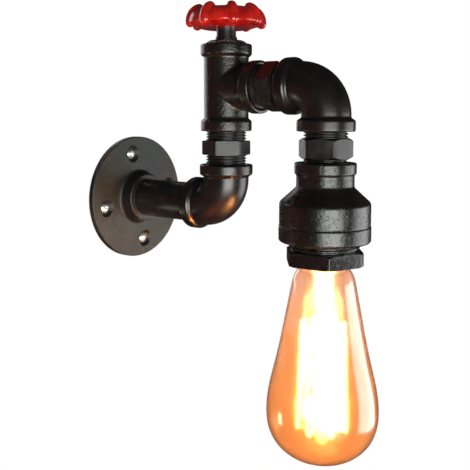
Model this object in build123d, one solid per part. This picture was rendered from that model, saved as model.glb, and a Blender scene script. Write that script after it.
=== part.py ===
from build123d import *
import os
from math import cos, pi, radians, sin, tan

# Industrial pipe wall light: a wall flange, a short pipe, an elbow, a riser, a valve tee with a
# handwheel on its top, a second elbow and a bell reducer that hides a screw lampholder, all from
# banded malleable-iron fittings, with a long pear-shaped filament bulb hanging from it.
# Millimetres. +Z is up. The origin is the centre of the flange's back face, +Y runs into the wall,
# and the arm reaches out along -Y.

# ---- pipe and thread sizes
pipe_d = 26.0            # outside of the three-quarter-inch pipe
thread_d = 26.0          # crest diameter of its outside thread
pipe_bore_d = 20.8
thread_gap = 0.06        # radial gap between an outside thread and its socket
socket_depth = 11.6      # how far a socket takes a thread
end_gap = 0.4            # end of a thread to the bottom of its socket

# ---- layout
wall_reach = 84.0        # wall to riser axis
lamp_reach = 73.5        # riser axis to lamp axis
riser_height = 75.5      # wall pipe axis to branch axis

# ---- wall flange and its screws
flange_d = 86.0
flange_t = 4.3
flange_edge = 0.6
hub_base_d = 36.4
hub_nose_d = 32.8
hub_h = 8.5
hub_foot = 2.4           # fillet where the hub meets the plate
screw_inset = 11.7       # screw circle to the flange's edge
screw_count = 4
screw_turn = 10.0        # the hole pattern is turned on the wall
screw_hole_d = 4.4
screw_sink_d = 12.4      # mouth of the countersink
screw_seat_d = 7.4       # flat seat at the bottom of the countersink
screw_seat_depth = 2.6
screw_neck_d = 4.0       # plain neck through the plate
screw_shank_d = 3.5
screw_head_d = 6.8
screw_head_h = 2.1
screw_out = 4.6          # how far the shank goes into the wall
screw_point = 2.8

# ---- elbows
elbow_leg = 26.7         # centre to end
elbow_bend = 17.6        # centreline radius of the bend
elbow_band_d = 34.2
elbow_barrel_d = 29.1
elbow_band_h = 7.0
band_edge = 0.9          # worn edge of a cast band
throat = 0.9             # lead-in chamfer of a socket

# ---- tee
tee_run = 27.4           # centre to either end of the run
tee_branch = 28.0        # centre to the end of the branch
tee_band_d = 32.8
tee_barrel_d = 28.7
tee_branch_d = 28.4
tee_band_h = 7.2

# ---- hexagon nipples
hex_flats = 27.2         # riser and branch nipple, across flats
hex_h = 9.0
drop_flats = 28.2        # drop nipple, rounder and taller
drop_hex_h = 11.9
drop_gap = 18.0          # elbow to reducer
drop_below = 2.2         # bare thread under the drop nipple's hexagon
riser_turn = 41.4        # direction of one flat, counter-clockwise from +X
branch_turn = 14.0
drop_turn = 16.9

# ---- bell reducer
bell_top_band_d = 36.2
bell_top_band_h = 6.7
bell_neck_d = 33.9
bell_neck_h = 7.6
bell_cone_h = 9.0
bell_body_d = 53.6
bell_body_h = 13.4
bell_band_d = 54.2
bell_band_h = 9.6
bell_wall = 8.4          # wall above the ledge
bell_thread_d = 41.8     # one-and-a-quarter-inch thread
bell_ledge_up = 14.6     # mouth to the ledge that traps the lampholder

# ---- hexagon bushing
bush_flats = 42.8
bush_hex_h = 8.1
bush_neck = 5.2          # bare thread between reducer and hexagon
bush_bore_d = 34.8
bush_turn = 6.7

# ---- lampholder for a 27 mm screw cap
holder_d = 34.0
holder_collar_gap = 0.7  # collar to the reducer's thread, in radius
holder_collar_h = 2.3
holder_play = 0.2        # collar to ledge
holder_floor = 3.8
holder_bore_d = 28.6
holder_mouth = 1.6       # mouth set back inside the bushing
holder_boss_d = 31.0
holder_boss_h = 3.2
shell_d = 28.0
shell_t = 0.5
shell_h = 20.0
cover_d = 30.4
cover_h = 10.0
cover_t = 1.4
cover_hole_d = 8.0
block_l = 7.0
block_w = 5.0
block_h = 4.6
block_x = 8.0
term_screw_d = 3.0
tongue_w = 6.0
tongue_t = 0.4
contact_gap = 0.3

# ---- bulb
bulb_d = 67.2
bulb_neck_d = 24.8
bulb_shoulder_d = 37.4
bulb_below = 1.6         # cap rim below the bushing
bulb_shoulder_down = 9.4
bulb_flank_d = 57.8       # glass between the shoulder and the widest place
bulb_flank_down = 60.0
bulb_widest_down = 88.6
bulb_length = 118.4      # cap rim to the bottom of the glass
glass_t = 0.9
cap_d = 26.2
cap_t = 0.3
cap_h = 19.0
cap_lap = 4.5            # glass neck inside the cap
collar_h = 3.5           # black glass insulator
collar_top_d = 11.0
tip_d = 9.4
tip_h = 1.4

# ---- glass mount, anchors and filament
mount_flare_d = 22.4
mount_tube_d = 12.0
mount_pinch_w = 15.0
mount_pinch_t = 4.6
mount_pinch_down = 28.0
mount_rod_d = 2.6
rod_end_up = 15.5        # rod end above the bottom of the glass
button_d = 5.2
anchor_count = 7
anchor_d = 0.7
anchor_gap = 1.2
cage_top_r = 12.6
cage_low_r = 14.6
cage_top_down = 34.5
cage_low_down = 99.0
anchor_rise = 4.0
filament_d = 0.9
filament_loop = 2.4      # width of a turn round its anchor
filament_bend = 0.95
lead_d = 0.8
lead_x = 4.8             # where the leads leave the pinch
lead_split = 2.6
lead_gap = 1.0
wire_sides = 8           # fine wires are drawn with a few flat sides

# ---- valve stem, plug and handwheel
plug_flats = 22.8
plug_head_h = 2.2
plug_cone = 2.2          # chamfer of the plug's head
plug_turn = 37.85        # direction of one flat, counter-clockwise from +X
stem_d = 12.4
stem_fit = 0.05
shoulder_d = 13.8
shoulder_h = 2.2
stem_above = 7.6         # plug head to the underside of the wheel's hub
clip_d = 17.0
clip_t = 1.0
clip_groove_d = 10.4
tang = 6.6               # square drive of the wheel
tang_gap = 0.05
stud_d = 5.0
wheel_hub_d = 16.4
wheel_hub_h = 6.6
wheel_foot = 0.2         # web starts this far above the hub's underside
rim_d = 49.0
rim_inner_d = 29.6
rim_h = 12.1
rim_edge_up = 4.1        # top of the rim's blunt outer edge
rim_edge_h = 1.4
rim_floor_d = 32.0       # the underside is flat inside this and rises to the edge outside it
rim_crown = 5.4          # width of the rim under its crown
rim_round = 1.5
grip_count = 8
grip_d = 6.4
grip_reach = 52.2        # across the finger grips
grip_bend = 8.0          # centreline radius of a grip as it curls over the rim
grip_curl = 72.0         # degrees of that bend
wheel_turn_0 = 3.55      # direction of one grip, counter-clockwise from +X
web_t = 3.4
washer_d = 11.0
washer_t = 1.0
nut_flats = 7.6
nut_hex_h = 3.6
nut_dome_h = 2.4

# ---- sizes and places that follow
screw_pcd = flange_d - 2 * screw_inset
holder_collar_d = bell_thread_d - 2 * holder_collar_gap
elbow_up_z = elbow_leg
tee_low_z = riser_height - tee_run
tee_top_z = riser_height + tee_run
riser_y = -wall_reach
lamp_y = -wall_reach - lamp_reach
drop_top_z = riser_height - elbow_leg
bell_top_z = drop_top_z - drop_gap
bell_h = bell_top_band_h + bell_neck_h + bell_cone_h + bell_body_h + bell_band_h
bell_mouth_z = bell_top_z - bell_h
ledge_z = bell_mouth_z + bell_ledge_up
bush_hex_top_z = bell_mouth_z - bush_neck
bush_low_z = bush_hex_top_z - bush_hex_h
collar_top_z = ledge_z - holder_play
collar_low_z = collar_top_z - holder_collar_h
floor_z = collar_top_z - holder_floor
rim_z = bush_low_z - bulb_below
glass_low_z = rim_z - bulb_length
cap_top_z = rim_z + cap_h
tip_top_z = cap_top_z + collar_h + tip_h
plug_top_z = tee_top_z + plug_head_h
hub_low_z = plug_top_z + stem_above
wheel_low_z = hub_low_z + wheel_foot
hub_top_z = hub_low_z + wheel_hub_h
thread_in = socket_depth - end_gap


def ring(outer, inner, z0, z1, at=(0, 0)):
    """A plain tube between two heights; at is its axis in plan."""
    middle = (at[0], at[1], (z0 + z1) / 2)
    body = Cylinder(outer / 2, z1 - z0)
    if inner > 0:
        body -= Cylinder(inner / 2, z1 - z0 + 1)
    return Pos(*middle) * body


def turned(points):
    """Revolve a closed outline of (radius, height) points about the vertical axis."""
    outline = make_face(Polyline(*[(r, 0, z) for r, z in points], close=True))
    return revolve(outline, Axis.Z)


def dome(base_d, rise, z):
    """A spherical cap of the given base diameter, standing on z."""
    r = base_d / 2
    ball = (r * r + rise * rise) / (2 * rise)
    disc = Pos(0, 0, z + rise / 2) * Cylinder(r, rise)
    return disc & Pos(0, 0, z + rise - ball) * Sphere(ball)


def hexagon(flats, height, cone):
    """A hexagon standing on z = 0 with one flat towards +X and turned corners, as a nut has."""
    corner = flats / 3 ** 0.5
    prism = extrude(Plane.XY.rotated((0, 0, 30)) * RegularPolygon(corner, 6), height)
    drop = cone * tan(radians(32))
    turning = turned([(0, 0), (corner - cone, 0), (corner + 0.01, drop), (corner + 0.01, height - drop),
                      (corner - cone, height), (0, height)])
    return prism & turning


def banded_end(band, barrel, height):
    """The cast reinforcing band of a socket; its mouth is at z = 0 and it goes down to -height."""
    r = band / 2
    step = (band - barrel) / 2
    return turned([(0, 0), (r - band_edge / 2, 0), (r, -band_edge / 2), (r, -height + band_edge),
                   (r - band_edge, -height), (barrel / 2, -height - step / 3), (0, -height - step / 3)])


def socket_cut(depth, thread):
    """What is bored out of a socket whose mouth is at z = 0, with its lead-in chamfer."""
    r = thread / 2 + thread_gap
    return turned([(0, 1), (r + throat, 1), (r + throat, 0), (r, -throat), (r, -depth), (0, -depth)])


def socket_bore():
    return socket_cut(socket_depth, thread_d)


def countersink(x, z):
    """A screw hole through the plate: clearance hole, flat seat and conical mouth."""
    face = flange_t
    seat = flange_t - screw_seat_depth
    cut = turned([(0, -1), (screw_hole_d / 2, -1), (screw_hole_d / 2, seat), (screw_seat_d / 2, seat),
                  (screw_sink_d / 2, face), (screw_sink_d / 2, face + 1), (0, face + 1)])
    return Pos(x, 0, z) * Rot(90, 0, 0) * cut


def screw_places():
    spots = []
    for i in range(screw_count):
        a = radians(screw_turn + i * 360 / screw_count)
        spots.append((screw_pcd / 2 * cos(a), screw_pcd / 2 * sin(a)))
    return spots


def wall_flange():
    """Cast plate with a tapered hub, bored and threaded for the pipe, and countersunk holes."""
    face = flange_t
    nose = flange_t + hub_h
    plate = make_face(Polyline((0, 0), (flange_d / 2, 0), (flange_d / 2, face - flange_edge),
                               (flange_d / 2 - flange_edge, face), (hub_base_d / 2, face),
                               (hub_nose_d / 2, nose), (0, nose), close=True))
    foot = [v for v in plate.vertices() if abs(v.X - hub_base_d / 2) < 0.01 and abs(v.Y - face) < 0.01]
    lip = [v for v in plate.vertices() if abs(v.X - hub_nose_d / 2) < 0.01 and abs(v.Y - nose) < 0.01]
    plate = fillet(foot, hub_foot)
    plate = fillet([v for v in plate.vertices() if abs(v.X - lip[0].X) < 0.01 and v.Y > nose - 0.01], 1.0)
    body = Rot(90, 0, 0) * revolve(Plane.XZ * plate, Axis.Z)
    bore = Cylinder(thread_d / 2 + thread_gap, 2 * nose + 2)
    body -= Rot(90, 0, 0) * bore
    for x, z in screw_places():
        body -= countersink(x, z)
    return body


def wall_screw(x, z):
    """Round-headed screw: domed head on its seat, neck through the plate, shank into the wall."""
    seat = flange_t - screw_seat_depth
    side = seat + screw_head_h * 0.3
    s = screw_shank_d / 2
    body = ring(screw_head_d, 0, seat, side) + dome(screw_head_d, screw_head_h * 0.7, side)
    body += ring(screw_neck_d, 0, 0, seat) + ring(screw_shank_d, 0, -screw_out, 0)
    body += Pos(0, 0, -screw_out - screw_point / 2) * Cone(0.2, s, screw_point)
    return Pos(x, 0, z) * Rot(90, 0, 0) * body


def wall_nipple():
    """Plain pipe from inside the flange's hub to the bottom of the elbow's socket."""
    start = -end_gap
    end = -(wall_reach - elbow_leg) - thread_in
    pipe = ring(pipe_d, pipe_bore_d, 0, start - end)
    return Pos(0, start, 0) * Rot(90, 0, 0) * pipe


def elbow():
    """Banded elbow with its legs along +Y and +Z, round outside, bored along the same bend."""
    route = FilletPolyline((0, elbow_leg, 0), (0, 0, 0), (0, 0, elbow_leg), radius=elbow_bend)
    start = Plane(origin=(0, elbow_leg, 0), z_dir=(0, -1, 0))
    body = sweep(start * Circle(elbow_barrel_d / 2), path=route)
    end = banded_end(elbow_band_d, elbow_barrel_d, elbow_band_h)
    up = Pos(0, 0, elbow_leg)
    back = Pos(0, elbow_leg, 0) * Rot(-90, 0, 0)
    body = body + up * end + back * end
    body -= sweep(start * Circle(pipe_bore_d / 2), path=route)
    body -= up * socket_bore()
    body -= back * socket_bore()
    return body


def banded_barrel(length, band, barrel, height, both):
    """A solid barrel standing on z = 0 with a band round its top end, and round its foot if both."""
    r = band / 2
    core = barrel / 2
    step = (r - core) / 3
    top = [(core, length - height - step), (r - band_edge, length - height), (r, length - height + band_edge),
           (r, length - band_edge / 2), (r - band_edge / 2, length), (0, length)]
    low = [(0, 0), (core, 0)]
    if both:
        low = [(0, 0), (r - band_edge / 2, 0), (r, band_edge / 2), (r, height - band_edge),
               (r - band_edge, height), (core, height + step)]
    return turned(low + top)


def valve_tee():
    """Banded tee: the run is vertical, the branch looks along -Y, and each mouth is a socket."""
    out = Rot(90, 0, 0)
    body = Pos(0, 0, -tee_run) * banded_barrel(2 * tee_run, tee_band_d, tee_barrel_d, tee_band_h, True)
    body += out * banded_barrel(tee_branch, tee_band_d, tee_branch_d, tee_band_h, False)
    body -= Cylinder(pipe_bore_d / 2, 2 * tee_run)
    body -= out * Pos(0, 0, tee_branch / 2) * Cylinder(pipe_bore_d / 2 - 0.2, tee_branch)
    body -= Pos(0, 0, tee_run) * socket_bore()
    body -= Pos(0, 0, -tee_run) * Rot(180, 0, 0) * socket_bore()
    body -= out * Pos(0, 0, tee_branch) * socket_bore()
    return Pos(0, riser_y, riser_height) * body


def hex_nipple(flats, height, below, above, cone):
    """Nipple standing on z = 0 at the underside of its hexagon, threaded at both ends."""
    body = ring(thread_d, 0, -below - thread_in, height + above + thread_in) + hexagon(flats, height, cone)
    return body - Cylinder(pipe_bore_d / 2, 4 * (height + thread_in + above))


def riser_nipple():
    bare = (tee_low_z - elbow_up_z - hex_h) / 2
    return Pos(0, riser_y, elbow_up_z + bare) * Rot(0, 0, riser_turn) * hex_nipple(
        hex_flats, hex_h, bare, bare, 0.8)


def branch_nipple():
    gap = lamp_reach - tee_branch - elbow_leg
    bare = (gap - hex_h) / 2
    place = Pos(0, riser_y - tee_branch - bare, riser_height)
    return place * Rot(90, 0, 0) * Rot(0, 0, branch_turn) * hex_nipple(hex_flats, hex_h, bare, bare, 0.8)


def drop_nipple():
    above = drop_gap - drop_below - drop_hex_h
    return Pos(0, lamp_y, bell_top_z + drop_below) * Rot(0, 0, drop_turn) * hex_nipple(
        drop_flats, drop_hex_h, drop_below, above, 2.6)


def bell_reducer():
    """Bell-shaped reducer: small banded socket above, cone, wide banded socket for the bushing."""
    z = [0, -bell_top_band_h]
    z.append(z[-1] - bell_neck_h)
    z.append(z[-1] - bell_cone_h)
    z.append(z[-1] - bell_body_h)
    z.append(z[-1] - bell_band_h)
    small = bell_top_band_d / 2
    neck = bell_neck_d / 2
    wide = bell_body_d / 2
    band = bell_band_d / 2
    skin = make_face(Polyline(
        (0, 0), (small - band_edge / 2, 0), (small, -band_edge / 2), (small, z[1] + band_edge / 2),
        (neck, z[1] - 0.5), (neck, z[2]), (wide, z[3]), (wide, z[4] + 0.5), (wide - 0.35, z[4] + 0.2),
        (wide - 0.35, z[4]), (band, z[4] - 0.35), (band, z[5] + band_edge), (band - band_edge, z[5]),
        (0, z[5]), close=True))
    hip = [v for v in skin.vertices() if abs(v.X - wide) < 0.01 and abs(v.Y - z[3]) < 0.01]
    skin = fillet(hip, 3.2)
    waist = [v for v in skin.vertices() if abs(v.X - neck) < 0.01 and abs(v.Y - z[2]) < 0.01]
    skin = fillet(waist, 2.4)
    body = revolve(Plane.XZ * skin, Axis.Z)
    body -= socket_bore()
    room = wide - bell_wall
    ledge = z[5] + bell_ledge_up
    body -= turned([(0, -socket_depth), (pipe_bore_d / 2, -socket_depth), (pipe_bore_d / 2, z[2] + 1.5),
                    (room, z[3] - 2.5), (room, ledge), (0, ledge)])
    body -= Pos(0, 0, z[5]) * Rot(180, 0, 0) * socket_cut(bell_ledge_up, bell_thread_d)
    return Pos(0, lamp_y, bell_top_z) * body


def lamp_bushing():
    """Hexagon bushing screwed up into the reducer; its bore holds the lampholder."""
    thread = ring(bell_thread_d, 0, bush_hex_h - 0.01, collar_low_z - bush_low_z)
    body = hexagon(bush_flats, bush_hex_h, 1.5) + thread
    body -= Cylinder(bush_bore_d / 2, 4 * bush_hex_h + 4 * bell_ledge_up)
    return Pos(0, lamp_y, bush_low_z) * Rot(0, 0, bush_turn) * body


def holder_body():
    """Porcelain lampholder: its collar is trapped between the bushing and the reducer's ledge."""
    low = bush_low_z + holder_mouth
    outer = [(0, collar_top_z + holder_boss_h), (holder_boss_d / 2, collar_top_z + holder_boss_h),
             (holder_boss_d / 2, collar_top_z), (holder_collar_d / 2, collar_top_z),
             (holder_collar_d / 2, collar_low_z), (holder_d / 2, collar_low_z), (holder_d / 2, low)]
    inner = [(holder_bore_d / 2, low), (holder_bore_d / 2, floor_z), (0, floor_z)]
    body = turned(outer + inner)
    for side in (-1, 1):
        hole = Cylinder(1.6, 40)
        body -= Pos(0, side * block_x, collar_top_z) * hole
    return Pos(0, lamp_y, 0) * body


def holder_shell():
    """Screw shell of the lampholder, with the inner ring that seats on the porcelain floor."""
    r = shell_d / 2
    top = floor_z
    body = turned([(r - 4.6, top), (r, top), (r, top - shell_h), (r - shell_t, top - shell_h),
                   (r - shell_t, top - shell_t), (r - 4.6, top - shell_t)])
    return Pos(0, lamp_y, 0) * body


def holder_contact():
    """Springy centre contact, fixed to the floor inside the shell's ring and bent down to the tip."""
    deep = floor_z - tip_top_z - contact_gap
    run = shell_d / 2 - 5.4
    strip = make_face(Polyline(
        (run, floor_z), (run, floor_z - tongue_t), (run - 4, floor_z - tongue_t), (1.5, floor_z - deep),
        (-2.5, floor_z - deep), (-2.5, floor_z - deep + tongue_t), (1.7, floor_z - deep + tongue_t),
        (run - 3.8, floor_z), close=True))
    body = extrude(Plane.XZ * strip, tongue_w / 2, both=True)
    return Pos(0, lamp_y, 0) * body


def terminal_block(side):
    block = Box(block_l, block_w, block_h)
    z = collar_top_z + holder_boss_h + block_h / 2
    return Pos(side * block_x, lamp_y, z) * (block - Rot(90, 0, 0) * Cylinder(1.4, block_w + 1))


def terminal_screw(side):
    z = collar_top_z + holder_boss_h + block_h
    head = Pos(0, 0, 0.6) * Cylinder(term_screw_d / 2, 1.2) - Pos(0, 0, 1.2) * Box(term_screw_d, 0.5, 0.8)
    return Pos(side * block_x, lamp_y, z) * head


def holder_cover():
    """Domed porcelain cover over the terminals, with the hole that lets the leads in."""
    low = collar_top_z + holder_boss_h
    r = cover_d / 2
    hole = cover_hole_d / 2
    outer = [(r, low), (r, low + cover_h * 0.55), (r - 6, low + cover_h), (hole, low + cover_h)]
    inner = [(hole, low + cover_h - cover_t), (r - 6 - cover_t * 0.4, low + cover_h - cover_t),
             (r - cover_t, low + cover_h * 0.55 - cover_t * 0.3), (r - cover_t, low)]
    return Pos(0, lamp_y, 0) * turned(outer + inner)


def bulb_curve(inset):
    """Half outline of the pear-shaped glass, from the neck to the axis, moved in by inset."""
    neck = (bulb_neck_d / 2 - inset, rim_z)
    shoulder = (bulb_shoulder_d / 2 - inset, rim_z - bulb_shoulder_down)
    flank = (bulb_flank_d / 2 - inset, rim_z - bulb_flank_down)
    widest = (bulb_d / 2 - inset, rim_z - bulb_widest_down)
    low = (0, glass_low_z + inset)
    rise = (neck[0] + (shoulder[0] - neck[0]) * 0.66, rim_z - bulb_shoulder_down * 0.39)
    slope = (widest[0] - shoulder[0]) / (shoulder[1] - widest[1])
    quarter = (widest[0] * 0.755, widest[1] - (widest[1] - low[1]) * 0.705)
    flare = Spline(neck, rise, shoulder, tangents=[(1, -0.35), (slope * 1.05, -1)])
    side = Spline(shoulder, flank, widest, tangents=[(slope * 1.05, -1), (0, -1)])
    dome = Spline(widest, quarter, low, tangents=[(0, -1), (-1, 0)])
    return flare + side + dome


def bulb_glass():
    """Blown glass envelope, one even wall, open at the neck that the cap is cemented on."""
    top = rim_z + cap_lap
    r = bulb_neck_d / 2
    outer = Line((r, top), (r, rim_z)) + bulb_curve(0)
    inner = Line((r - glass_t, top), (r - glass_t, rim_z)) + bulb_curve(glass_t)
    ends = Line((r, top), (r - glass_t, top)) + Line((0, glass_low_z), (0, glass_low_z + glass_t))
    wall = make_face(outer + inner + ends)
    return Pos(0, lamp_y, 0) * revolve(Plane.XZ * wall, Axis.Z)


def bulb_cap():
    """Brass screw cap: thin cup with a turned-in top that the insulator sits in."""
    r = cap_d / 2
    body = turned([(r, rim_z + 0.3), (r, cap_top_z - 2.4), (r - 3.2, cap_top_z), (collar_top_d / 2, cap_top_z),
                   (collar_top_d / 2, cap_top_z - cap_t), (r - 3.3, cap_top_z - cap_t),
                   (r - cap_t, cap_top_z - 2.5), (r - cap_t, rim_z + 0.3)])
    return Pos(0, lamp_y, 0) * body


def bulb_insulator():
    r = cap_d / 2 - 3.4
    top = cap_top_z + collar_h
    body = turned([(0, cap_top_z), (r, cap_top_z), (collar_top_d / 2, top), (0, top)])
    return Pos(0, lamp_y, 0) * body


def bulb_tip():
    """Domed solder contact at the end of the cap."""
    return Pos(0, lamp_y, 0) * dome(tip_d, tip_h, cap_top_z + collar_h)


def bulb_mount():
    """Glass mount: flare sealed in the neck, tube, flattened pinch, and the rod with its buttons."""
    low = rim_z - mount_pinch_down
    flare = turned([(0, rim_z + cap_lap), (mount_flare_d / 2, rim_z + cap_lap), (mount_flare_d / 2, rim_z + 2),
                    (mount_tube_d / 2, rim_z - 6), (mount_tube_d / 2, low + 9), (0, low + 9)])
    wide = Plane.XY.offset(low + 9) * Circle(mount_tube_d / 2)
    flat = Plane.XY.offset(low) * Ellipse(mount_pinch_w / 2, mount_pinch_t / 2)
    pinch = loft([wide, flat], ruled=True)
    rod_low = glass_low_z + rod_end_up
    rod = ring(mount_rod_d, 0, rod_low, low + 1)
    top_button = Pos(0, 0, rim_z - cage_top_down + anchor_rise) * Sphere(button_d / 2)
    low_button = Pos(0, 0, rod_low) * Sphere(button_d / 2)
    return Pos(0, lamp_y, 0) * (flare + pinch + rod + top_button + low_button)


def cage_point(radius, turn, z):
    return (radius * cos(turn), radius * sin(turn), z)


def filament_corners():
    """Corners of the zigzag: two at every anchor, so that the wire turns round it."""
    step = 2 * pi / anchor_count
    top = rim_z - cage_top_down
    low = rim_z - cage_low_down
    half_top = filament_loop / 2 / cage_top_r
    half_low = filament_loop / 2 / cage_low_r
    corners = [cage_point(cage_top_r, half_top, top)]
    for i in range(anchor_count):
        a = (i + 0.5) * step
        corners.append(cage_point(cage_low_r, a - half_low, low))
        corners.append(cage_point(cage_low_r, a + half_low, low))
        if i < anchor_count - 1:
            a = (i + 1) * step
            corners.append(cage_point(cage_top_r, a - half_top, top))
            corners.append(cage_point(cage_top_r, a + half_top, top))
    corners.append(cage_point(cage_top_r, -half_top, top))
    return corners


def bulb_filament():
    """One unbroken wire zigzagging between the anchors, drawn at its wound diameter."""
    route = FilletPolyline(*filament_corners(), radius=filament_bend)
    start = Plane(origin=route @ 0, z_dir=route % 0)
    body = sweep(start * RegularPolygon(filament_d / 2, wire_sides), path=route)
    gap = filament_loop - filament_d
    print("filament: least gap between two turns", round(gap, 2), "mm, length", round(route.length, 1))
    return Pos(0, lamp_y, 0) * body


def wire(start, end, size):
    """A straight wire between two points."""
    path = Line(start, end)
    return sweep(Plane(origin=start, z_dir=path % 0) * RegularPolygon(size / 2, wire_sides), path=path)


def bulb_anchors():
    """Radial wires that stand out of the two buttons, one inside each turn of the filament."""
    step = 2 * pi / anchor_count
    top = rim_z - cage_top_down
    low = rim_z - cage_low_down
    rod_low = glass_low_z + rod_end_up
    inner = button_d / 2 - 0.6
    end_top = cage_top_r + 1.0
    end_low = cage_low_r + 1.0
    drop = anchor_gap + (anchor_d + filament_d) / 2
    group = []
    for i in range(anchor_count):
        if i > 0:
            a = i * step
            group.append(wire(cage_point(inner + 1.0, a, top + anchor_rise - 0.3),
                              cage_point(end_top, a, top - drop), anchor_d))
        a = (i + 0.5) * step
        group.append(wire(cage_point(inner + 1.0, a, rod_low + 0.3),
                          cage_point(end_low, a, low + drop), anchor_d))
    return Pos(0, lamp_y, 0) * Compound(group)


def bulb_leads():
    """Two lead wires from the pinch to the ends of the filament."""
    top = rim_z - cage_top_down
    half = filament_loop / 2 / cage_top_r
    start_z = rim_z - mount_pinch_down - 0.4
    group = []
    for side in (-1, 1):
        end = cage_point(cage_top_r - lead_gap, side * (half + 0.06), top + lead_gap)
        group.append(wire((lead_x, side * lead_split / 2, start_z), end, lead_d))
    return group


def stem_plug():
    """Bushing that closes the tee's top mouth and guides the valve stem."""
    head = hexagon(plug_flats, 2 * plug_head_h, plug_cone) & Pos(0, 0, 1.5 * plug_head_h) * Cylinder(
        plug_flats, plug_head_h)
    body = Pos(0, 0, -plug_head_h) * head + ring(thread_d, 0, -thread_in, 0.01)
    body -= Cylinder(stem_d / 2 + stem_fit, 6 * thread_in)
    return Pos(0, riser_y, tee_top_z) * Rot(0, 0, plug_turn) * body


def valve_stem():
    """Turned stem: guided shank with a clip groove, shoulder on the plug, square drive, stud end."""
    low = tee_top_z - thread_in - 0.3
    groove = low - clip_t
    end = groove - 1.6
    r = stem_d / 2
    seat = plug_top_z
    body = turned([(0, end), (r, end), (r, groove), (clip_groove_d / 2, groove), (clip_groove_d / 2, low),
                   (r, low), (r, seat), (shoulder_d / 2, seat), (shoulder_d / 2, seat + shoulder_h),
                   (r, seat + shoulder_h + 0.6), (r, hub_low_z), (0, hub_low_z)])
    tang_h = wheel_hub_h - 0.3
    body += Pos(0, 0, hub_low_z + tang_h / 2) * Box(tang, tang, tang_h)
    body += ring(stud_d, 0, hub_low_z, hub_top_z + washer_t + nut_hex_h + nut_dome_h / 3)
    return Pos(0, riser_y, 0) * body


def stem_clip():
    """Open retaining ring in the stem's groove, under the plug."""
    low = tee_top_z - thread_in - 0.3 - clip_t
    body = ring(clip_d, clip_groove_d + 0.1, low + 0.05, low + clip_t - 0.05)
    body -= Pos(clip_d / 2, 0, low) * Box(clip_d, 4, 4 * clip_t)
    return Pos(0, riser_y, 0) * body


def wheel_rim():
    """Rim of the wheel: rising underside, blunt edge, and an outside that curls in to the crown."""
    r = rim_d / 2
    inner = rim_inner_d / 2
    crown = inner + rim_crown / 2
    halfway = (r - 0.32 * (r - crown), rim_edge_up + 0.68 * (rim_h - rim_edge_up))
    section = make_face(Polyline((crown, rim_h), (inner, rim_h), (inner, 0), (rim_floor_d / 2, 0),
                                 (r, rim_edge_up - rim_edge_h), (r, rim_edge_up))
                        + ThreePointArc((r, rim_edge_up), halfway, (crown, rim_h)))
    edge = [v for v in section.vertices() if v.Y < rim_edge_up - 0.1 and v.X > inner + 0.1]
    section = fillet(edge, 0.6)
    lip = [v for v in section.vertices() if v.Y > rim_h - 0.1 and v.X < inner + 0.1]
    section = fillet(lip, rim_round)
    return revolve(Plane.XZ * section, Axis.Z)


def wheel_grip():
    """One finger grip towards +X: a round bar that rises from the rim's edge and curls over it."""
    x = grip_reach / 2 - grip_d / 2
    bend = CenterArc((x - grip_bend, rim_edge_up, 0), grip_bend, 0, grip_curl)
    foot = Line((x, rim_edge_up - rim_edge_h / 2, 0), (x, rim_edge_up, 0))
    route = Rot(90, 0, 0) * (foot + bend)
    bar = sweep(Plane(origin=route @ 0, z_dir=route % 0) * Circle(grip_d / 2), path=route)
    low = Pos(*(route @ 0)) * Sphere(grip_d / 2)
    return bar + low + Pos(*(route @ 1)) * Sphere(grip_d / 2)


def handwheel():
    """Cast handwheel: curled rim with finger grips over it, plain web, hub with a square hole."""
    body = wheel_rim()
    grip = wheel_grip()
    for spot in PolarLocations(0, grip_count):
        body += spot * grip
    body += ring(rim_inner_d + rim_round, 0, 0, web_t)
    body += ring(wheel_hub_d, 0, -wheel_foot, wheel_hub_h - wheel_foot)
    body -= Rot(0, 0, -wheel_turn_0) * Box(tang + 2 * tang_gap, tang + 2 * tang_gap, 6 * wheel_hub_h)
    return Pos(0, riser_y, wheel_low_z) * Rot(0, 0, wheel_turn_0) * body


def wheel_washer():
    return ring(washer_d, stud_d + 0.3, hub_top_z, hub_top_z + washer_t, at=(0, riser_y))


def wheel_nut():
    """Domed cap nut that holds the wheel down."""
    base = hub_top_z + washer_t
    body = hexagon(nut_flats, nut_hex_h, 0.4) + dome(nut_flats, nut_dome_h - 0.2, nut_hex_h)
    body -= Pos(0, 0, (nut_hex_h + nut_dome_h / 3 + 0.2) / 2 - 0.5) * Cylinder(
        stud_d / 2 + 0.05, nut_hex_h + nut_dome_h / 3 + 1.2)
    return Pos(0, riser_y, base) * body


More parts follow.
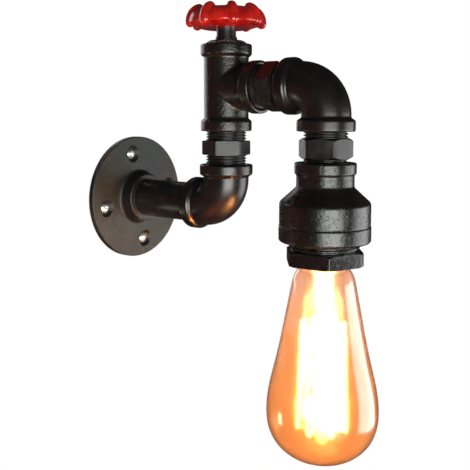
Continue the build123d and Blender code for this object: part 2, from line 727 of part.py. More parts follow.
def main():
    os.makedirs("parts", exist_ok=True)
    leads = bulb_leads()
    nodes = {
        "wall_flange": wall_flange(),
        "wall_nipple": wall_nipple(),
        "lower_elbow": Pos(0, riser_y, 0) * elbow(),
        "riser_nipple": riser_nipple(),
        "valve_tee": valve_tee(),
        "branch_nipple": branch_nipple(),
        "upper_elbow": Pos(0, lamp_y, riser_height) * Rot(0, 180, 0) * elbow(),
        "drop_nipple": drop_nipple(),
        "bell_reducer": bell_reducer(),
        "lamp_bushing": lamp_bushing(),
        "stem_plug": stem_plug(),
        "holder_body": holder_body(),
        "holder_shell": holder_shell(),
        "holder_contact": holder_contact(),
        "holder_cover": holder_cover(),
        "valve_stem": valve_stem(),
        "stem_clip": stem_clip(),
        "handwheel": handwheel(),
        "wheel_washer": wheel_washer(),
        "wheel_nut": wheel_nut(),
        "bulb_glass": bulb_glass(),
        "bulb_cap": bulb_cap(),
        "bulb_insulator": bulb_insulator(),
        "bulb_tip": bulb_tip(),
        "bulb_mount": bulb_mount(),
        "bulb_anchors": bulb_anchors(),
        "bulb_filament": bulb_filament(),
    }
    for i, (x, z) in enumerate(screw_places()):
        nodes["wall_screw_%d" % (i + 1)] = wall_screw(x, z)
    for name, side in (("left", -1), ("right", 1)):
        nodes["terminal_block_" + name] = terminal_block(side)
        nodes["terminal_screw_" + name] = terminal_screw(side)
    for name, lead in zip(("left", "right"), leads):
        nodes["bulb_lead_" + name] = Pos(0, lamp_y, 0) * lead
    for name, shape in nodes.items():
        export_step(shape, "parts/%s.step" % name)


main()
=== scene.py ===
from math import cos, pi, radians, sin, sqrt, tan

import bmesh
import bpy
from mathutils import Matrix, Vector


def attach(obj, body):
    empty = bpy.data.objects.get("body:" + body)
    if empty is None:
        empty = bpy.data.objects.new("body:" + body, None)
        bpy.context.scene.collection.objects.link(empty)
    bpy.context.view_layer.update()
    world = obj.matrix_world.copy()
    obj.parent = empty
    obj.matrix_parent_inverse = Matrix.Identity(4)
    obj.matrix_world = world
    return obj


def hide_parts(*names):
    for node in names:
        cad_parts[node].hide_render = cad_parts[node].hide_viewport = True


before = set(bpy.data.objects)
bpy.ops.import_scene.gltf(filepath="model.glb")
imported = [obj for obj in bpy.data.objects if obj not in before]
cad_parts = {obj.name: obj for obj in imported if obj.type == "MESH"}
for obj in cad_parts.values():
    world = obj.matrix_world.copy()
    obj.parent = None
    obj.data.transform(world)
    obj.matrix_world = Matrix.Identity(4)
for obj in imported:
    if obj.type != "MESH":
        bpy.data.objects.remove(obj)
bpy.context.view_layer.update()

MM = 0.001

# ---- sizes of the fittings, in metres, as the solids have them
PIPE = 13.0 * MM                    # outside radius of the pipe and of its threads' crests
BORE = 10.4 * MM
PIPE_PITCH = 1.814 * MM
THREAD_DEEP = 1.15 * MM
THREAD_IN = 11.2 * MM               # how far a thread runs into its socket
WALL_REACH = 84.0 * MM              # wall to the upright pipe's axis
LAMP_REACH = 73.5 * MM              # upright pipe's axis to the lamp's axis
RISE = 75.5 * MM                    # lower pipe's axis to the upper pipe's axis
LAMP_Y = -WALL_REACH - LAMP_REACH
ELBOW_LEG = 26.7 * MM
TEE_RUN = 27.4 * MM
TEE_BRANCH = 28.0 * MM
TEE_LOW = RISE - TEE_RUN
DROP_BELOW = 2.2 * MM               # thread that shows below the drop nipple's hexagon
DROP_HEX = 11.9 * MM
DROP_ABOVE = 3.9 * MM
BELL_TOP = RISE - ELBOW_LEG - (DROP_BELOW + DROP_HEX + DROP_ABOVE)
BELL_HEIGHT = 46.3 * MM
BUSH_STANDS = 13.3 * MM             # how far the bushing stands out of the reducer
CAP_STANDS = 1.6 * MM               # how far the lamp's cap stands out of the bushing
GLASS_LENGTH = 118.4 * MM
BUSH_LOW = BELL_TOP - BELL_HEIGHT - BUSH_STANDS
CAP_RIM = BUSH_LOW - CAP_STANDS
SCREW_CIRCLE = 31.3 * MM            # radius on which the wall screws stand

SAME_POINT = 0.5e-6                 # corners closer together than this are one
PAPER = (1.0, 1.0, 1.0, 1.0)


# ---------------------------------------------------------------- finishes

class Wire:
    """An output socket of a finish; arithmetic on it adds Math nodes."""

    def __init__(self, finish, out):
        self.finish, self.out = finish, out

    def _math(self, operation, first, second):
        return self.finish.node("Math", {"operation": operation}, {0: first, 1: second})

    def __add__(self, other):
        return self._math("ADD", self, other)

    def __radd__(self, other):
        return self._math("ADD", other, self)

    def __sub__(self, other):
        return self._math("SUBTRACT", self, other)

    def __rsub__(self, other):
        return self._math("SUBTRACT", other, self)

    def __mul__(self, other):
        return self._math("MULTIPLY", self, other)

    def __rmul__(self, other):
        return self._math("MULTIPLY", other, self)


class Finish:
    """A material under construction, with one method that adds any node."""

    def __init__(self, name):
        self.material = bpy.data.materials.new(name)
        self.material.use_nodes = True
        self.tree = self.material.node_tree
        self.tree.nodes.clear()
        self.place = self.node("TexCoord", out="Object")

    def node(self, kind, settings=None, inputs=None, out=0):
        made = self.tree.nodes.new("ShaderNode" + kind)
        for key, value in (settings or {}).items():
            if key == "stops":
                self._stops(made.color_ramp.elements, value)
            else:
                setattr(made, key, value)
        for key, value in (inputs or {}).items():
            if isinstance(value, Wire):
                self.tree.links.new(value.out, made.inputs[key])
            else:
                made.inputs[key].default_value = value
        return Wire(self, made.outputs[out])

    @staticmethod
    def _stops(elements, stops):
        while len(elements) < len(stops):
            elements.new(0.5)
        for element, (position, colour) in zip(elements, stops):
            element.position = position
            element.color = colour

    def noise(self, size, detail=3.0, rough=0.55, place=None):
        """Noise whose lumps are about size metres across."""
        return self.node("TexNoise", None, {"Vector": place or self.place, "Scale": 1.0 / size,
                                            "Detail": detail, "Roughness": rough})

    def ramp(self, factor, *stops):
        """Greys between stops of (position, value); a position lies between 0 and 1."""
        greys = [(position, (value, value, value, 1.0)) for position, value in stops]
        return self.node("ValToRGB", {"stops": greys}, {"Fac": factor})

    def blend(self, factor, first, second):
        """Mix two colours, each a red, green and blue or a wire."""
        colours = [c if isinstance(c, Wire) else (*c, 1.0) for c in (first, second)]
        return self.node("Mix", {"data_type": "RGBA"}, {0: factor, 6: colours[0], 7: colours[1]}, out=2)

    def edges(self, radius):
        """1 along convex and concave edges within radius, 0 on open surface."""
        soft = self.node("Bevel", {"samples": 6}, {"Radius": radius})
        flat = self.node("NewGeometry", out="Normal")
        same = self.node("VectorMath", {"operation": "DOT_PRODUCT"}, {0: soft, 1: flat}, out="Value")
        return self.ramp(1.0 - same, (0.0, 0.0), (0.12, 1.0))

    def rubbed(self, radius, patch, low, high):
        """Edges within radius, worn in patches: a ramp from low to high on noise of that size."""
        return self.edges(radius) * self.ramp(self.noise(*patch), low, high)

    def bump(self, height, strength, distance):
        return self.node("Bump", None, {"Height": height, "Strength": strength, "Distance": distance})

    def close(self, **sockets):
        """End in a Principled shader whose sockets are given by name."""
        named = {key.replace("_", " "): value for key, value in sockets.items()}
        return self.show(self.node("BsdfPrincipled", None, named))

    def show(self, skin):
        """End in the given shader and give back the material."""
        end = self.tree.nodes.new("ShaderNodeOutputMaterial")
        self.tree.links.new(skin.out, end.inputs["Surface"])
        return self.material


def cast_iron(name, rough, grain_depth, waves=0.5):
    """Black-enamelled casting: fine sand grain, soft mottling, edges rubbed paler."""
    dark, pale, bare = (0.0045, 0.003, 0.003), (0.009, 0.0075, 0.007), (0.10, 0.09, 0.085)
    f = Finish(name)
    mottle = f.noise(14 * MM, 4.0)
    grain = f.noise(1.3 * MM, 4.0, 0.66)
    pits = f.ramp(f.noise(2.6 * MM, 3.0), (0.34, 1.0), (0.44, 0.0))
    rubbed = f.rubbed(0.7 * MM, (3.0 * MM, 3.0), (0.42, 0.0), (0.62, 1.0))
    skin = f.blend(f.ramp(mottle, (0.35, 0.0), (0.68, 1.0)), dark, pale)
    return f.close(Base_Color=f.blend(rubbed * 0.55, skin, bare),
                   Roughness=rough + 0.16 * mottle + 0.12 * grain - 0.08 * rubbed, Specular_IOR_Level=0.66,
                   Normal=f.bump(grain - 0.6 * pits + waves * mottle, 0.6, grain_depth))


def flange_iron():
    """The plate's face is rubbed down to a satin grey; its edge is still black, and painted shade darkens
    the countersinks, the hub and a ring round the hub.
    """
    black, bare = (0.007, 0.006, 0.006), (0.16, 0.15, 0.14)
    dark, pale = (0.003, 0.0055, 0.0045), (0.0175, 0.019, 0.0155)
    f = Finish("flange_iron")
    mottle = f.noise(16 * MM, 4.0)
    grain = f.noise(1.6 * MM, 4.0, 0.72)
    depth = f.node("SeparateXYZ", None, {0: f.place}, out="Y")
    across = f.node("VectorMath", {"operation": "MULTIPLY"}, {0: f.place, 1: (1.0, 0.0, 1.0)})
    radius = f.node("VectorMath", {"operation": "LENGTH"}, {0: across}, out="Value")
    # lengths are scaled to a ramp's 0 to 1: the face lies 4 mm off the wall, the hub begins past 5 mm,
    # and painted shade round the hub fades out between 18 and 28 mm from the middle. Behind the face the
    # plate's edge is left black and the same mask paints shade into the countersinks; the hub is painted
    # dark as shade
    edge = f.ramp(depth * 100.0 + 0.5, (0.08, 0.0), (0.115, 1.0))
    hub = f.ramp(depth * -50.0, (0.26, 0.0), (0.34, 1.0))
    hub_ring_shade = f.ramp(radius * 20.0 + 0.10 * mottle, (0.40, 1.0), (0.60, 0.0))
    black_and_shade = f.ramp(edge + hub + 0.75 * hub_ring_shade, (0.0, 0.0), (1.0, 1.0))
    sand = f.ramp(0.55 * mottle + 0.45 * grain, (0.40, 0.0), (0.62, 1.0))
    rubbed = f.rubbed(0.7 * MM, (3.0 * MM, 3.0), (0.40, 0.3), (0.62, 1.0))
    skin = f.blend(black_and_shade, f.blend(sand, dark, pale), black)
    return f.close(Base_Color=f.blend(rubbed * 0.6, skin, bare),
                   Roughness=0.36 + 0.14 * mottle + 0.08 * grain - 0.12 * black_and_shade, Specular_IOR_Level=0.5,
                   Normal=f.bump(grain + 0.4 * mottle, 0.9, 0.50 * MM))


def cut_steel():
    """Blackened, machine-cut metal: a fine grain, an oily sheen and bright rubbed crests."""
    dark, pale, bare = (0.006, 0.0045, 0.0045), (0.013, 0.011, 0.0105), (0.13, 0.12, 0.11)
    f = Finish("pipe_steel")
    stain = f.noise(6 * MM, 3.0)
    grain = f.noise(0.8 * MM, 4.0, 0.62)
    rubbed = f.rubbed(0.45 * MM, (2.0 * MM, 2.0), (0.40, 0.0), (0.60, 1.0))
    skin = f.blend(f.ramp(stain, (0.35, 0.0), (0.65, 1.0)), dark, pale)
    return f.close(Base_Color=f.blend(rubbed * 0.5, skin, bare),
                   Roughness=0.20 + 0.15 * stain + 0.08 * grain, Specular_IOR_Level=0.5,
                   Normal=f.bump(grain, 0.5, 0.11 * MM))


def plated(name, dark, pale, rough):
    """Bright plated metal with a fine grain and small dull spots."""
    f = Finish(name)
    spots = f.noise(1.6 * MM, 3.0)
    grain = f.noise(0.25 * MM, 2.0)
    tone = f.blend(f.ramp(spots, (0.38, 0.0), (0.62, 1.0)), dark, pale)
    return f.close(Base_Color=tone, Metallic=1.0, Roughness=rough + 0.18 * spots,
                   Normal=f.bump(grain, 0.25, 0.03 * MM))


def red_enamel():
    """Thick glossy paint: orange-peel surface, darker where it pooled, chips on the edges."""
    dark, pale, chipped = (0.30, 0.004, 0.003), (0.54, 0.012, 0.007), (0.10, 0.02, 0.018)
    f = Finish("red_enamel")
    pool = f.noise(9 * MM, 3.0)
    peel = f.noise(1.4 * MM, 2.0, 0.4)
    chips = f.rubbed(0.5 * MM, (1.2 * MM, 4.0), (0.60, 0.0), (0.66, 1.0))
    paint = f.blend(f.ramp(pool, (0.35, 0.0), (0.65, 1.0)), dark, pale)
    return f.close(Base_Color=f.blend(chips * 0.8, paint, chipped),
                   Roughness=0.16 + 0.10 * pool + 0.3 * chips, Coat_Weight=0.6, Coat_Roughness=0.08,
                   Normal=f.bump(peel + 0.8 * pool, 0.22, 0.2 * MM))


def porcelain():
    """Glazed white porcelain with a faint warm cloud."""
    f = Finish("porcelain")
    cloud = f.noise(5 * MM, 3.0)
    return f.close(Base_Color=f.blend(cloud, (0.80, 0.78, 0.71), (0.90, 0.88, 0.82)),
                   Roughness=0.14 + 0.1 * cloud, Coat_Weight=0.4,
                   Normal=f.bump(cloud, 0.15, 0.2 * MM))


def amber_glass():
    """Blown amber glass, deeper in colour lower down and where it is seen edge on. It carries a faint
    painted glow of its own, standing in for the light of the wire inside, and its clear coat keeps the
    reflections on the frosting crisp."""
    thin, thick, edge = (0.995, 0.86, 0.82), (0.98, 0.60, 0.31), (0.34, 0.06, 0.06)
    f = Finish("amber_glass")
    wave = f.noise(22 * MM, 2.0)
    fleck = f.noise(5 * MM, 2.0)
    height = f.node("SeparateXYZ", None, {0: f.place}, out="Z")
    down = (CAP_RIM - height) * (1.0 / GLASS_LENGTH)
    uneven = f.ramp(down + 0.9 * f.noise(13 * MM, 4.0), (0.55, 0.0), (1.0, 1.0))
    facing = f.node("LayerWeight", None, {"Blend": 0.5}, out="Facing")
    deep = f.ramp(facing, (0.60, 0.0), (0.90, 1.0))
    return f.close(Base_Color=f.blend(deep, f.blend(uneven, thin, thick), edge),
                   Transmission_Weight=1.0, IOR=1.38, Roughness=0.20 + 0.02 * fleck,
                   Coat_Weight=1.0, Coat_Roughness=0.13, Coat_IOR=1.78,
                   # a faint painted glow, standing in for the wire's light inside the glass
                   Emission_Color=(1.0, 0.36, 0.09, 1.0), Emission_Strength=0.11,
                   Normal=f.bump(wave, 0.08, 0.3 * MM))


def glowing_wire():
    """The lit wire, a little hotter on the crests of its coil."""
    f = Finish("glowing_wire")
    coil = f.noise(0.6 * MM, 2.0)
    return f.close(Base_Color=(0.3, 0.2, 0.1, 1.0), Roughness=0.5,
                   Emission_Color=f.blend(coil, (1.0, 0.56, 0.20), (1.0, 0.78, 0.42)),
                   Emission_Strength=110.0)


def lit_glass():
    """Mount glass with a painted glow in upright streaks, standing in for the light of the wire close by.
    """
    f = Finish("lit_glass")
    drawn = f.node("VectorMath", {"operation": "MULTIPLY"}, {0: f.place, 1: (1.0, 1.0, 0.12)})
    cloud = f.noise(3 * MM, 3.0, place=drawn)
    painted_glow = f.blend(f.ramp(cloud, (0.40, 0.0), (0.60, 1.0)), (0.30, 0.13, 0.02), (1.0, 0.80, 0.42))
    return f.close(Base_Color=(0.95, 0.93, 0.88, 1.0), Transmission_Weight=0.7, IOR=1.45,
                   Roughness=0.12 + 0.2 * cloud, Emission_Color=painted_glow, Emission_Strength=1.4)


def hot_painted_glow():
    """Anchor and lead wire, given a painted orange glow for the heat and light of the glowing wire it
    holds.
    """
    f = Finish("hot_painted_glow")
    cloud = f.noise(2 * MM, 2.0)
    return f.close(Base_Color=(0.25, 0.22, 0.20, 1.0), Metallic=1.0, Roughness=0.3 + 0.2 * cloud,
                   Emission_Color=f.blend(cloud, (1.0, 0.42, 0.10), (1.0, 0.72, 0.30)),
                   Emission_Strength=9.0)


def gloss_black():
    """Black glass of the cap's insulating ring."""
    f = Finish("gloss_black")
    cloud = f.noise(3 * MM, 2.0)
    return f.close(Base_Color=f.blend(cloud, (0.008, 0.008, 0.010), (0.02, 0.02, 0.024)),
                   Roughness=0.12 + 0.1 * cloud, Normal=f.bump(cloud, 0.1, 0.1 * MM))


IRON = cast_iron("black_iron", rough=0.12, grain_depth=0.19 * MM)
ELBOW_IRON = cast_iron("elbow_iron", rough=0.16, grain_depth=0.05 * MM, waves=0.1)
FLANGE_IRON = flange_iron()
PIPE_STEEL = cut_steel()
SCREW_ZINC = plated("screw_zinc", dark=(0.72, 0.73, 0.74), pale=(0.90, 0.90, 0.90), rough=0.30)
BRASS = plated("brass", dark=(0.60, 0.42, 0.18), pale=(0.80, 0.62, 0.32), rough=0.22)
SOLDER = plated("solder", dark=(0.42, 0.42, 0.43), pale=(0.62, 0.62, 0.62), rough=0.30)
RED = red_enamel()
PORCELAIN = porcelain()
AMBER = amber_glass()
LIT_GLASS = lit_glass()
HOT_PAINTED_GLOW = hot_painted_glow()
GLOW = glowing_wire()
JET = gloss_black()

DRESSED = (
    (FLANGE_IRON, ("wall_flange",)),
    (IRON, ("valve_tee", "bell_reducer", "lamp_bushing", "stem_plug")),
    (ELBOW_IRON, ("lower_elbow", "upper_elbow")),
    (PIPE_STEEL, ("wall_nipple", "riser_nipple", "branch_nipple", "drop_nipple", "valve_stem")),
    (SCREW_ZINC, ("wall_screw_1", "wall_screw_2", "wall_screw_3", "wall_screw_4", "stem_clip",
                  "wheel_washer", "wheel_nut", "terminal_screw_left", "terminal_screw_right")),
    (BRASS, ("holder_shell", "holder_contact", "terminal_block_left", "terminal_block_right", "bulb_cap")),
    (SOLDER, ("bulb_tip",)),
    (RED, ("handwheel",)),
    (PORCELAIN, ("holder_body", "holder_cover")),
    (AMBER, ("bulb_glass",)),
    (LIT_GLASS, ("bulb_mount",)),
    (HOT_PAINTED_GLOW, ("bulb_anchors", "bulb_lead_left", "bulb_lead_right")),
    (GLOW, ("bulb_filament",)),
    (JET, ("bulb_insulator",)),
)


def dress(obj, finish):
    obj.data.materials.clear()
    obj.data.materials.append(finish)


for finish, nodes in DRESSED:
    for node in nodes:
        dress(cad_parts[node], finish)


# ---------------------------------------------------------------- making pieces

def finished(name, bm, body, finish, nodes, crease=32):
    """A piece from a bmesh: doubles merged, faces outwards, smooth apart from its creases."""
    bmesh.ops.remove_doubles(bm, verts=bm.verts, dist=SAME_POINT)
    bmesh.ops.recalc_face_normals(bm, faces=bm.faces)
    mesh = bpy.data.meshes.new(name)
    bm.to_mesh(mesh)
    bm.free()
    mesh.shade_smooth()
    mesh.set_sharp_from_angle(angle=radians(crease))
    piece = bpy.data.objects.new(name, mesh)
    bpy.context.scene.collection.objects.link(piece)
    dress(piece, finish)
    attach(piece, body)
    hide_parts(*nodes)


def through(bm, kind, **settings):
    """Run one modifier over a bmesh and give back what it makes."""
    mesh = bpy.data.meshes.new("work")
    bm.to_mesh(mesh)
    bm.free()
    blank = bpy.data.objects.new("work", mesh)
    bpy.context.scene.collection.objects.link(blank)
    tool = blank.modifiers.new(kind, kind)
    for key, value in settings.items():
        setattr(tool, key, value)
    graph = bpy.context.evaluated_depsgraph_get()
    after = bpy.data.meshes.new_from_object(blank.evaluated_get(graph))
    made = bmesh.new()
    made.from_mesh(after)
    bpy.data.objects.remove(blank)
    bpy.data.meshes.remove(mesh)
    bpy.data.meshes.remove(after)
    return made


def cut(bm, tool_bm, operation="DIFFERENCE"):
    """Cut, join or cross one closed form with another."""
    mesh = bpy.data.meshes.new("tool")
    tool_bm.to_mesh(mesh)
    tool_bm.free()
    tool = bpy.data.objects.new("tool", mesh)
    bpy.context.scene.collection.objects.link(tool)
    made = through(bm, "BOOLEAN", object=tool, operation=operation, solver="EXACT")
    bpy.data.objects.remove(tool)
    bpy.data.meshes.remove(mesh)
    return made


def joined(*forms):
    """Several bmeshes in one."""
    whole = bmesh.new()
    for bm in forms:
        mesh = bpy.data.meshes.new("part")
        bm.to_mesh(mesh)
        bm.free()
        whole.from_mesh(mesh)
        bpy.data.meshes.remove(mesh)
    return whole


def placed(bm, *moves):
    """Move a form by the product of some matrices."""
    whole = Matrix.Identity(4)
    for move in moves:
        whole = whole @ move
    bmesh.ops.transform(bm, matrix=whole, verts=bm.verts)
    return bm


def to(x, y, z):
    return Matrix.Translation((x, y, z))


def about(axis, degrees):
    return Matrix.Rotation(radians(degrees), 4, axis)


def lathe(bm, sides=96, climb=0.0):
    """Spin everything in a bmesh once round the Z axis, rising by climb on the way."""
    bmesh.ops.spin(bm, geom=bm.verts[:] + bm.edges[:], cent=(0, 0, 0), axis=(0, 0, 1), angle=2 * pi,
                   dvec=(0, 0, climb / sides), steps=sides, use_merge=not climb)
    bmesh.ops.remove_doubles(bm, verts=bm.verts, dist=SAME_POINT)


def turned(outline, sides=96, closed=True):
    """Spin an outline of (radius, height) about the Z axis."""
    bm = bmesh.new()
    corners = [bm.verts.new((r, 0.0, z)) for r, z in outline]
    ends = corners[1:] + corners[:1] if closed else corners[1:]
    for a, b in zip(corners, ends):
        bm.edges.new((a, b))
    lathe(bm, sides)
    bmesh.ops.recalc_face_normals(bm, faces=bm.faces)
    return bm


def tube(outer, inner, low, high):
    return turned([(inner, low), (outer, low), (outer, high), (inner, high)])


def thread(crest, root, pitch, low, high, bore, flat=0.14):
    """A tube with an outside thread: its ridge spun up as a helix, cut flat at both ends, and bored.
    flat is the share of the pitch that the crest takes, and that the root takes."""
    bm = bmesh.new()
    steps = []
    start = low - 1.5 * pitch
    for k in range(int((high - low) / pitch) + 3):
        for r, share in ((crest, 0.0), (crest, flat), (root, 0.5), (root, 0.5 + flat)):
            steps.append(bm.verts.new((r, 0.0, start + (k + share) * pitch)))
    for a, b in zip(steps, steps[1:]):
        bm.edges.new((a, b))
    lathe(bm, sides=72, climb=pitch)
    for level, way in ((low, -1), (high, 1)):
        bmesh.ops.bisect_plane(bm, geom=bm.verts[:] + bm.edges[:] + bm.faces[:], plane_co=(0, 0, level),
                               plane_no=(0, 0, way), clear_outer=True)
    inner = []
    for level in (low, high):
        rim = [e for e in bm.edges if e.is_boundary
               and all(abs(v.co.z - level) < 0.2 * SAME_POINT for v in e.verts)]
        out = bmesh.ops.extrude_edge_only(bm, edges=rim)
        for v in (g for g in out["geom"] if isinstance(g, bmesh.types.BMVert)):
            v.co.xy = v.co.xy.normalized() * bore
        inner += [g for g in out["geom"] if isinstance(g, bmesh.types.BMEdge) and g.is_boundary]
    bmesh.ops.bridge_loops(bm, edges=inner)
    bmesh.ops.recalc_face_normals(bm, faces=bm.faces)
    return bm


def hexagon(flats, low, high, cone, bore):
    """A nut's hexagon, one flat towards +X, its corners turned off at both ends and its bore cut."""
    corner, corner_round, clear = flats / sqrt(3), 0.35 * MM, flats / sqrt(3) + 0.1 * MM
    drop = cone * tan(radians(32))
    bm = bmesh.new()
    bmesh.ops.create_cone(bm, cap_ends=True, segments=6, radius1=corner, radius2=corner, depth=high - low,
                          matrix=to(0, 0, (low + high) / 2))
    upright = [e for e in bm.edges if abs(e.verts[0].co.z - e.verts[1].co.z) > 0.5 * (high - low)]
    bmesh.ops.bevel(bm, geom=upright, offset=corner_round, segments=2, profile=0.5, affect="EDGES",
                    material=-1)
    cones = turned([(bore, low), (corner - cone, low), (clear, low + drop), (clear, high - drop),
                    (corner - cone, high), (bore, high)])
    return cut(bm, cones, "INTERSECT")


def recast(node, grain, passes):
    """A casting taken from its solid, with its inside corners filled and its edges softened."""
    bm = bmesh.new()
    bm.from_mesh(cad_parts[node].data)
    bmesh.ops.remove_doubles(bm, verts=bm.verts, dist=2.0 * SAME_POINT)
    bm = through(bm, "REMESH", mode="VOXEL", voxel_size=grain)
    return through(bm, "SMOOTH", factor=0.5, iterations=passes)


# ---------------------------------------------------------------- nipples and bushing

def nipple(name, flats, height, below, above, cone, *place):
    """Threaded nipple with its hexagon; it stands on z = 0 at the hexagon's underside."""
    root = PIPE - THREAD_DEEP
    screwed = thread(PIPE, root, PIPE_PITCH, -below - THREAD_IN, height + above + THREAD_IN, BORE)
    nut = hexagon(flats, 0.0, height, cone, root - 0.15 * MM)
    finished(name + "_cut", placed(joined(screwed, nut), *place), "base", PIPE_STEEL, (name,))


def make_nipples():
    flats, height, cone = 27.2 * MM, 9.0 * MM, 0.8 * MM
    bare = (TEE_LOW - ELBOW_LEG - height) / 2
    nipple("riser_nipple", flats, height, bare, bare, cone,
           to(0, -WALL_REACH, ELBOW_LEG + bare), about("Z", 41.4))
    bare = (LAMP_REACH - TEE_BRANCH - ELBOW_LEG - height) / 2
    nipple("branch_nipple", flats, height, bare, bare, cone,
           to(0, -WALL_REACH - TEE_BRANCH - bare, RISE), about("X", 90), about("Z", 14.0))
    nipple("drop_nipple", 28.2 * MM, DROP_HEX, DROP_BELOW, DROP_ABOVE, 2.6 * MM,
           to(0, LAMP_Y, BELL_TOP + DROP_BELOW), about("Z", 16.9))


def make_bushing():
    """Hexagon bushing, from its hexagon's underside up; its thread runs into the reducer."""
    crest, root, pitch, bore = 20.9 * MM, 19.7 * MM, 2.309 * MM, 17.4 * MM
    flats, hex_top, cone, top = 42.8 * MM, 8.1 * MM, 1.5 * MM, 25.4 * MM
    screwed = thread(crest, root, pitch, hex_top - 0.4 * MM, top, bore)
    nut = hexagon(flats, 0.0, hex_top, cone, bore)
    finished("lamp_bushing_cut", placed(joined(screwed, nut), to(0, LAMP_Y, BUSH_LOW), about("Z", 6.7)),
             "base", IRON, ("lamp_bushing",))


# ---------------------------------------------------------------- castings, screws and cap

def make_castings():
    """Each casting has its own grain, in millimetres, and number of smoothing passes."""
    fittings = (("valve_tee", 0.55, 3, IRON), ("lower_elbow", 0.5, 3, ELBOW_IRON),
                ("upper_elbow", 0.5, 3, ELBOW_IRON), ("bell_reducer", 0.48, 2, IRON))
    for node, grain, passes, finish in fittings:
        finished(node + "_cast", recast(node, grain * MM, passes), "base", finish, (node,),
                 crease=60)
    finished("handwheel_cast", recast("handwheel", 0.42 * MM, 6), "wheel", RED,
             ("handwheel",), crease=60)


def cross_screw(x, z, number):
    """Round-headed screw with a cross recess, its head on the seat of the countersink."""
    shank, neck, tip = 1.75 * MM, 2.0 * MM, 0.2 * MM
    seat, shank_end, point = 1.7 * MM, -4.6 * MM, 2.8 * MM
    head, side, rise = 3.4 * MM, 0.63 * MM, 1.47 * MM
    top = seat + side + rise
    ball = (head * head + rise * rise) / (2 * rise)
    slot_long, slot_wide, slot_high = 3.9 * MM, 0.95 * MM, 2.2 * MM
    levels = [k * rise / 6 for k in range(7)]
    arc = [(sqrt(max(0.0, ball * ball - (ball - rise + up) ** 2)), seat + side + up) for up in levels]
    arc[-1] = (0.0, top)
    body = turned([(0.0, shank_end - point), (tip, shank_end - point), (shank, shank_end), (shank, 0.0),
                   (neck, 0.0), (neck, seat), (head - 0.1 * MM, seat)] + arc, sides=48, closed=False)
    for turn in (20, 110):
        slot = bmesh.new()
        bmesh.ops.create_cube(slot, size=1.0)
        placed(slot, to(0, 0, top), about("Z", turn + 25 * number),
               Matrix.Diagonal((slot_long, slot_wide, slot_high, 1.0)))
        body = cut(body, slot)
    finished("wall_screw_%d_cross" % number, placed(body, to(x, 0, z), about("X", 90)), "base",
             SCREW_ZINC, ("wall_screw_%d" % number,))


def make_screws():
    for i in range(4):
        a = radians(10 + 90 * i)
        cross_screw(SCREW_CIRCLE * cos(a), SCREW_CIRCLE * sin(a), i + 1)


def make_cap():
    """Lamp cap with its rolled thread, plain skirt and turned-in top."""
    crest, root, pitch, bore = 13.1 * MM, 12.2 * MM, 3.629 * MM, 11.8 * MM
    top = CAP_RIM + 19.0 * MM
    shoulder, roof, hole = top - 2.5 * MM, top - 0.4 * MM, 5.5 * MM
    skirt = tube(crest, crest - 0.35 * MM, CAP_RIM + 0.3 * MM, CAP_RIM + 5.2 * MM)
    rolled = thread(crest, root, pitch, CAP_RIM + 5.1 * MM, shoulder + 0.1 * MM, bore, flat=0.2)
    crown = turned([(12.9 * MM, shoulder), (9.9 * MM, top), (hole, top), (hole, roof), (9.7 * MM, roof),
                    (12.3 * MM, shoulder)])
    finished("bulb_cap_rolled", placed(joined(skirt, rolled, crown), to(0, LAMP_Y, 0)), "bulb",
             BRASS, ("bulb_cap",))


make_nipples()
make_bushing()
make_castings()
make_screws()
make_cap()


# ---------------------------------------------------------------- stage, light and camera

FLOOR_Z = -0.80
FLOOR_RADIUS = 6.0
GLOSS_ROOM = 0.03        # how bright the white room stands in gloss, so that black iron stays black
ROOM_LIGHT = 0.24        # how much light the room itself gives


def stand_floor():
    """A pale round floor well below the lamp; the eye, gloss and glass see it as white paper, and near
    the middle a fifth of the eye's view is the matt floor, which keeps the lamp's shadow."""
    bm = bmesh.new()
    bmesh.ops.create_circle(bm, cap_ends=True, radius=FLOOR_RADIUS, segments=96)
    mesh = bpy.data.meshes.new("floor")
    bm.to_mesh(mesh)
    bm.free()
    floor = bpy.data.objects.new("floor", mesh)
    floor.location.z = FLOOR_Z
    bpy.context.scene.collection.objects.link(floor)
    f = Finish("floor_paper")
    matt = f.node("BsdfDiffuse", None, {"Color": (0.88, 0.88, 0.88, 1.0)})
    eye, gloss, glass = [f.node("LightPath", out=name) for name in ("Is Camera Ray", "Is Glossy Ray",
                                                                    "Is Transmission Ray")]
    white = f.node("Emission", None, {"Color": PAPER, "Strength": 1.0 - (1.0 - GLOSS_ROOM) * gloss})
    away = f.node("VectorMath", {"operation": "LENGTH"}, {0: f.place}, out="Value")
    far = f.ramp(away, (0.40, 0.0), (0.80, 1.0))
    share = (eye + glass) * (0.80 + 0.20 * far) + gloss
    dress(floor, f.show(f.node("MixShader", None, {0: share, 1: matt, 2: white})))


def set_world():
    """White paper to the eye and through glass, a dimmer white room in gloss and for the light itself."""
    world = bpy.data.worlds.new("studio")
    bpy.context.scene.world = world
    world.use_nodes = True
    tree = world.node_tree
    tree.nodes.clear()
    path = tree.nodes.new("ShaderNodeLightPath")
    strength = None
    for name, level in (("Is Camera Ray", 1.0), ("Is Transmission Ray", 1.0), ("Is Glossy Ray", GLOSS_ROOM),
                        ("Is Diffuse Ray", ROOM_LIGHT)):
        share = tree.nodes.new("ShaderNodeMath")
        share.operation = "MULTIPLY"
        share.inputs[1].default_value = level
        tree.links.new(path.outputs[name], share.inputs[0])
        if strength is None:
            strength = share.outputs[0]
            continue
        either = tree.nodes.new("ShaderNodeMath")
        either.operation = "MAXIMUM"
        tree.links.new(strength, either.inputs[0])
        tree.links.new(share.outputs[0], either.inputs[1])
        strength = either.outputs[0]
    paper = tree.nodes.new("ShaderNodeBackground")
    paper.inputs["Color"].default_value = PAPER
    end = tree.nodes.new("ShaderNodeOutputWorld")
    tree.links.new(strength, paper.inputs["Strength"])
    tree.links.new(paper.outputs[0], end.inputs["Surface"])


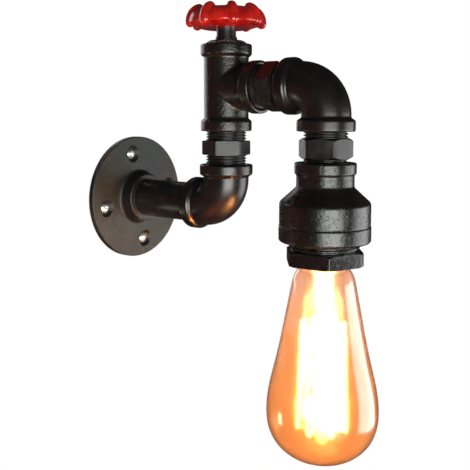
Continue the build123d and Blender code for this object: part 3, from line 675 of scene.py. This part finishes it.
def softbox(name, azimuth, elevation, distance, wide, high, watts, colour=(1.0, 1.0, 1.0)):
    """A soft rectangular lamp that looks at the middle of the object. Glass doesn't show it, so that the
    back of the bulb isn't washed out."""
    middle = Vector((0.0, -0.11, 0.0))
    lamp = bpy.data.lights.new(name, "AREA")
    lamp.shape = "RECTANGLE"
    lamp.size, lamp.size_y, lamp.energy, lamp.color = wide, high, watts, colour
    a, e = radians(azimuth), radians(elevation)
    back = Vector((sin(a) * cos(e), -cos(a) * cos(e), sin(e)))
    obj = bpy.data.objects.new(name, lamp)
    obj.location = middle + back * distance
    obj.rotation_mode = "QUATERNION"
    obj.rotation_quaternion = (-back).to_track_quat("-Z", "Y")
    obj.visible_transmission = False
    bpy.context.scene.collection.objects.link(obj)


def stand_softboxes():
    softbox("key", azimuth=-40.0, elevation=-12.5, distance=1.0, wide=0.85, high=0.52, watts=11.3,
            colour=(0.96, 1.0, 0.97))
    softbox("side", azimuth=41.0, elevation=-14.0, distance=1.1, wide=0.95, high=0.72, watts=8.2,
            colour=(0.98, 1.0, 0.99))
    softbox("fill", azimuth=-140.0, elevation=-4.0, distance=1.3, wide=2.0, high=0.8, watts=0.65,
            colour=(1.0, 0.14, 0.10))
    softbox("ember", azimuth=-75.0, elevation=-60.0, distance=0.7, wide=0.8, high=0.5, watts=1.2,
            colour=(1.0, 0.16, 0.07))
    softbox("back", azimuth=165.0, elevation=12.0, distance=1.2, wide=0.9, high=0.8, watts=3.5)
    softbox("glint", azimuth=-150.0, elevation=-27.0, distance=1.0, wide=0.14, high=0.12, watts=0.5,
            colour=(1.0, 0.93, 0.60))


def light_bulb():
    """Small warm lamps down the bulb's axis, each with its millimetres below the cap's rim, its radius
    in millimetres and its watts. The glass casts no shadow, because it would hold their light in."""
    warm = (1.0, 0.38, 0.11)
    glows = ((44.0, 11.0, 0.15), (66.0, 11.0, 0.15), (88.0, 11.0, 0.15), (99.0, 6.0, 0.018),
             (106.0, 3.0, 0.004))
    for number, (down, radius, watts) in enumerate(glows):
        lamp = bpy.data.lights.new("bulb_glow_%d" % number, "POINT")
        lamp.energy, lamp.color, lamp.shadow_soft_size = watts, warm, radius * MM
        obj = bpy.data.objects.new("bulb_glow_%d" % number, lamp)
        obj.location = (0.0, LAMP_Y, CAP_RIM - down * MM)
        bpy.context.scene.collection.objects.link(obj)
    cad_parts["bulb_glass"].visible_shadow = False


def stand_camera():
    """The eye, where the camera fitted to the photograph stands, with the photograph's framing."""
    place = Vector((-0.35439, -0.36164, 0.05743))
    back = Vector((-0.79110, -0.60379, 0.09795)).normalized()
    roll = radians(0.085)
    image, lowered = 470.0, 50.0
    eye = bpy.data.cameras.new("eye")
    eye.sensor_width = 36.0
    eye.lens = 53.366
    eye.shift_y = -lowered / image
    eye.clip_start, eye.clip_end = 0.01, 50.0
    obj = bpy.data.objects.new("eye", eye)
    right = Vector((-back.y, back.x, 0.0)).normalized()
    up = back.cross(right)
    side = right * cos(roll) + up * sin(roll)
    top = up * cos(roll) - right * sin(roll)
    turn = Matrix((side, top, back)).transposed().to_4x4()
    obj.matrix_world = Matrix.Translation(place) @ turn
    bpy.context.scene.collection.objects.link(obj)
    bpy.context.scene.camera = obj


stand_floor()
set_world()
stand_softboxes()
light_bulb()
stand_camera()

bpy.context.scene.view_settings.view_transform = "Standard"
